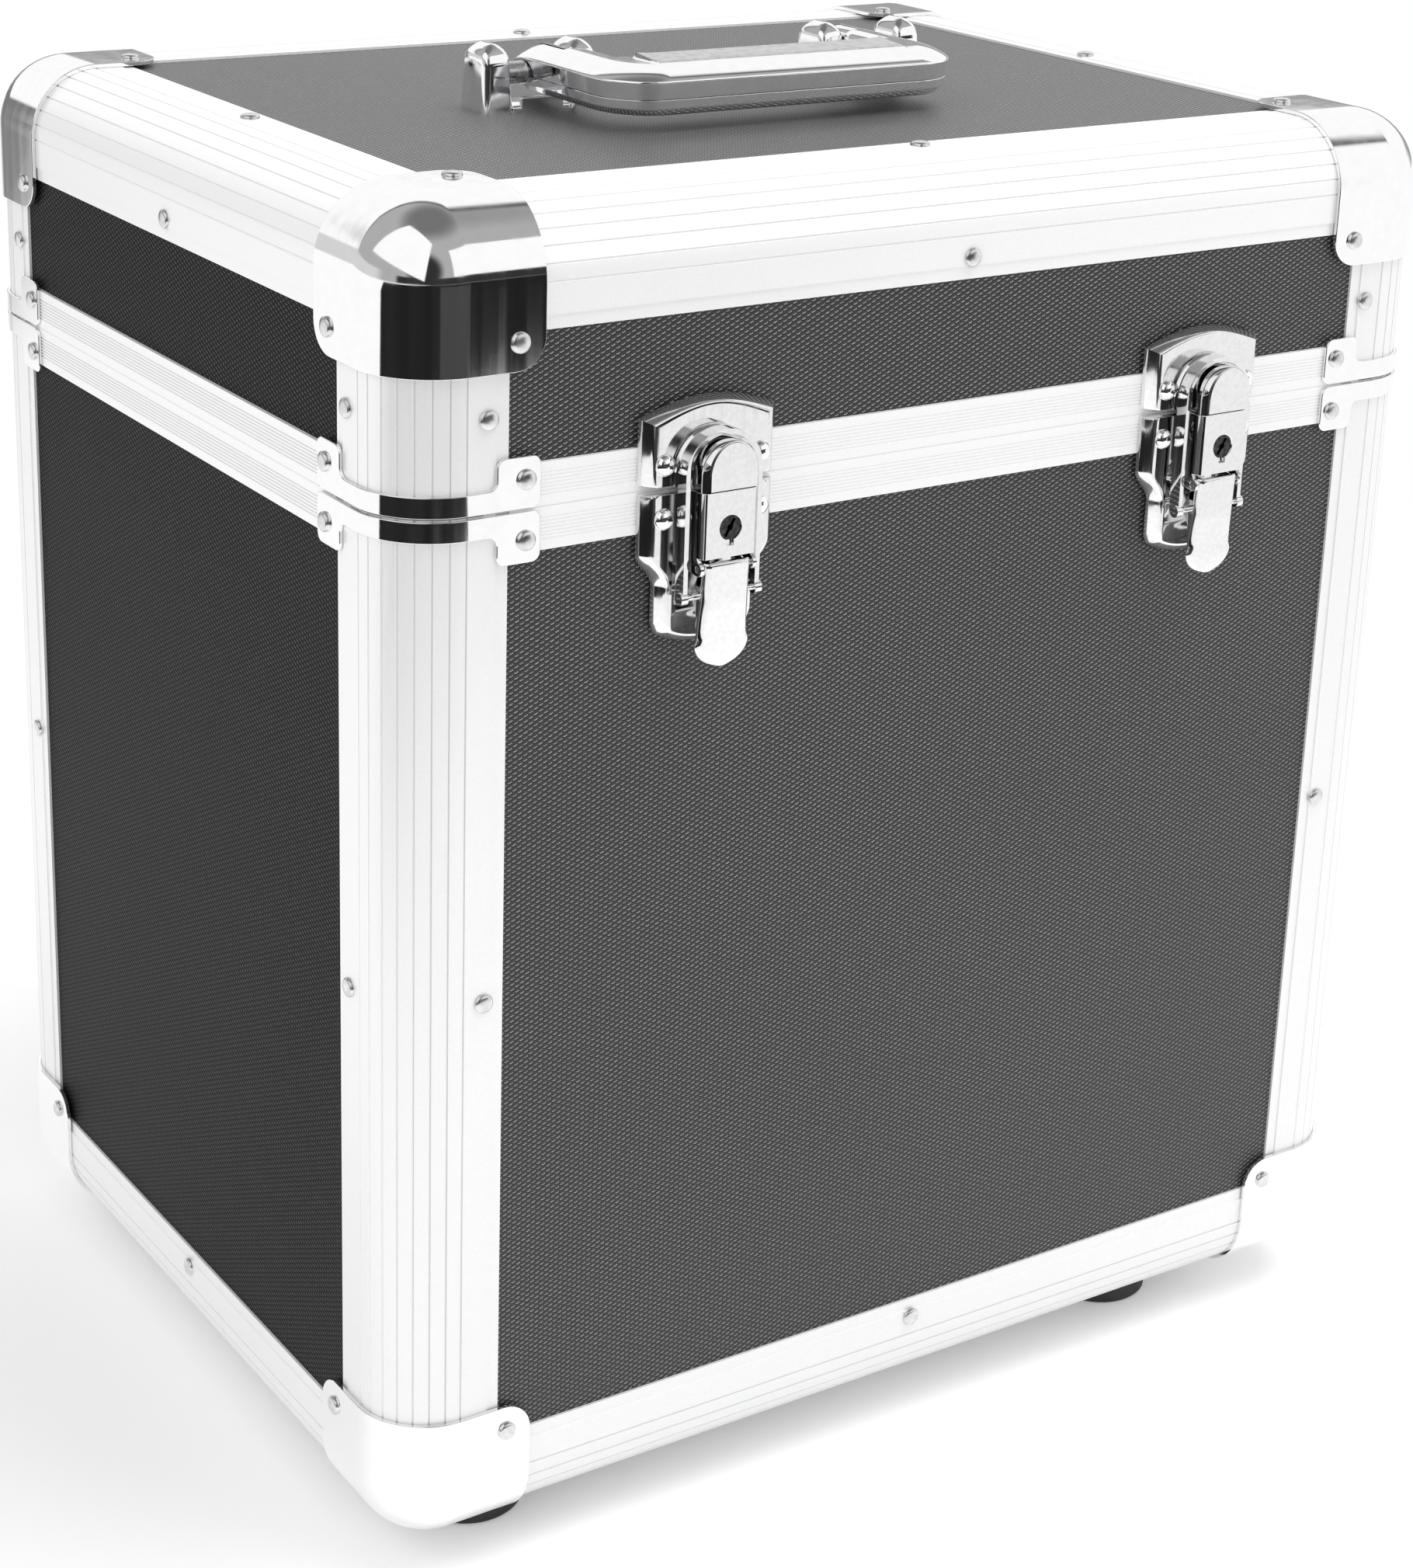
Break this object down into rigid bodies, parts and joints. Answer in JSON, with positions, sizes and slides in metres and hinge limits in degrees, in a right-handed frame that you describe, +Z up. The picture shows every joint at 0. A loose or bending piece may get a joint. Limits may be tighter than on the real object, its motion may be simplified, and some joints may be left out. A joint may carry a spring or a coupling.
{
  "type": "record carrying case",
  "caption": "Hinged record carrying case with black board panels, grooved aluminium edges, chrome corner caps, key-lock draw latches, a folding top handle and rubber feet.",
  "frame": {"origin": "middle of the whole outline seen from above, on the floor under the feet", "axes": "+Z up, +X to the right along the front, -Y is the latched front face, +Y the hinged back"},
  "size_m": [0.3554, 0.2902, 0.4064],
  "materials": {
    "black_laminate": "dark grey pressed diagonal pattern, low sheen",
    "aluminium_profile": "bright satin extruded",
    "chrome_cap": "polished plated sheet",
    "latch_chrome": "polished plated sheet",
    "lock_steel": "turned steel",
    "handle_chrome": "polished plated shell",
    "hinge_steel": "zinc plated",
    "rivet_steel": "polished domed heads",
    "pin_steel": "plain steel",
    "black_rubber": "moulded matt rubber",
    "dark_felt": "dense dark felted foam"
  },
  "bodies": {
    "case_body": {"body_front_panel": "black_laminate", "body_rear_panel": "black_laminate", "body_left_panel": "black_laminate", "body_right_panel": "black_laminate", "body_bottom_panel": "black_laminate", "body_corner_profiles": "aluminium_profile", "bottom_edge_profiles": "aluminium_profile", "body_closure_profiles": "aluminium_profile", "bottom_corner_caps": "chrome_cap", "lower_corner_clamps": "chrome_cap", "body_rivets": "rivet_steel", "latch_base_rivets": "rivet_steel", "left_latch_base": "latch_chrome", "right_latch_base": "latch_chrome", "left_lock_housing": "latch_chrome", "right_lock_housing": "latch_chrome", "lever_pins": "pin_steel", "body_hinge_leaves": "hinge_steel", "hinge_pins": "pin_steel", "rubber_feet": "black_rubber", "foot_screws": "pin_steel", "base_pad": "dark_felt"},
    "lid": {"lid_top_panel": "black_laminate", "lid_front_panel": "black_laminate", "lid_rear_panel": "black_laminate", "lid_left_panel": "black_laminate", "lid_right_panel": "black_laminate", "lid_corner_profiles": "aluminium_profile", "top_edge_profiles": "aluminium_profile", "lid_closure_profiles": "aluminium_profile", "top_corner_caps": "chrome_cap", "upper_corner_clamps": "chrome_cap", "lid_rivets": "rivet_steel", "catch_rivets": "rivet_steel", "left_catch_plate": "latch_chrome", "right_catch_plate": "latch_chrome", "lid_hinge_leaves": "hinge_steel", "lid_pad": "dark_felt", "handle_brackets": "handle_chrome", "handle_pins": "pin_steel", "bracket_screws": "pin_steel"},
    "left_lever": {"left_lever": "latch_chrome"},
    "right_lever": {"right_lever": "latch_chrome"},
    "left_bail": {"left_bail": "latch_chrome"},
    "right_bail": {"right_bail": "latch_chrome"},
    "left_key": {"left_key_plug": "lock_steel"},
    "right_key": {"right_key_plug": "lock_steel"},
    "handle": {"handle_lower_shell": "handle_chrome", "handle_upper_shell": "handle_chrome"}
  },
  "joints": [
    {"name": "lid_hinge", "type": "hinge", "parent": "case_body", "child": "lid", "pos_m": [0, 0.1422, 0.3105], "axis": [-1, 0, 0], "range_deg": [0, 100]},
    {"name": "handle_fold", "type": "hinge", "parent": "lid", "child": "handle", "pos_m": [-0.0068, -0.0041, 0.3968], "axis": [-1, 0, 0], "range_deg": [0, 90]},
    {"name": "left_lever_turn", "type": "hinge", "parent": "case_body", "child": "left_lever", "pos_m": [-0.0846, -0.1423, 0.2907], "axis": [-1, 0, 0], "range_deg": [0, 90]},
    {"name": "left_bail_turn", "type": "hinge", "parent": "left_lever", "child": "left_bail", "pos_m": [-0.0846, -0.1397, 0.2825], "axis": [-1, 0, 0], "range_deg": [-118, 0]},
    {"name": "left_key_turn", "type": "hinge", "parent": "case_body", "child": "left_key", "pos_m": [-0.0846, -0.1411, 0.3015], "axis": [0, 1, 0], "range_deg": [0, 90]},
    {"name": "right_lever_turn", "type": "hinge", "parent": "case_body", "child": "right_lever", "pos_m": [0.0846, -0.1423, 0.2907], "axis": [-1, 0, 0], "range_deg": [0, 90]},
    {"name": "right_bail_turn", "type": "hinge", "parent": "right_lever", "child": "right_bail", "pos_m": [0.0846, -0.1397, 0.2825], "axis": [-1, 0, 0], "range_deg": [-118, 0]},
    {"name": "right_key_turn", "type": "hinge", "parent": "case_body", "child": "right_key", "pos_m": [0.0846, -0.1411, 0.3015], "axis": [0, 1, 0], "range_deg": [0, 90]}
  ],
  "couplings": [
    {"joint": "left_bail_turn", "follows": "left_lever_turn", "ratio": -1.3},
    {"joint": "right_bail_turn", "follows": "right_lever_turn", "ratio": -1.3}
  ]
}
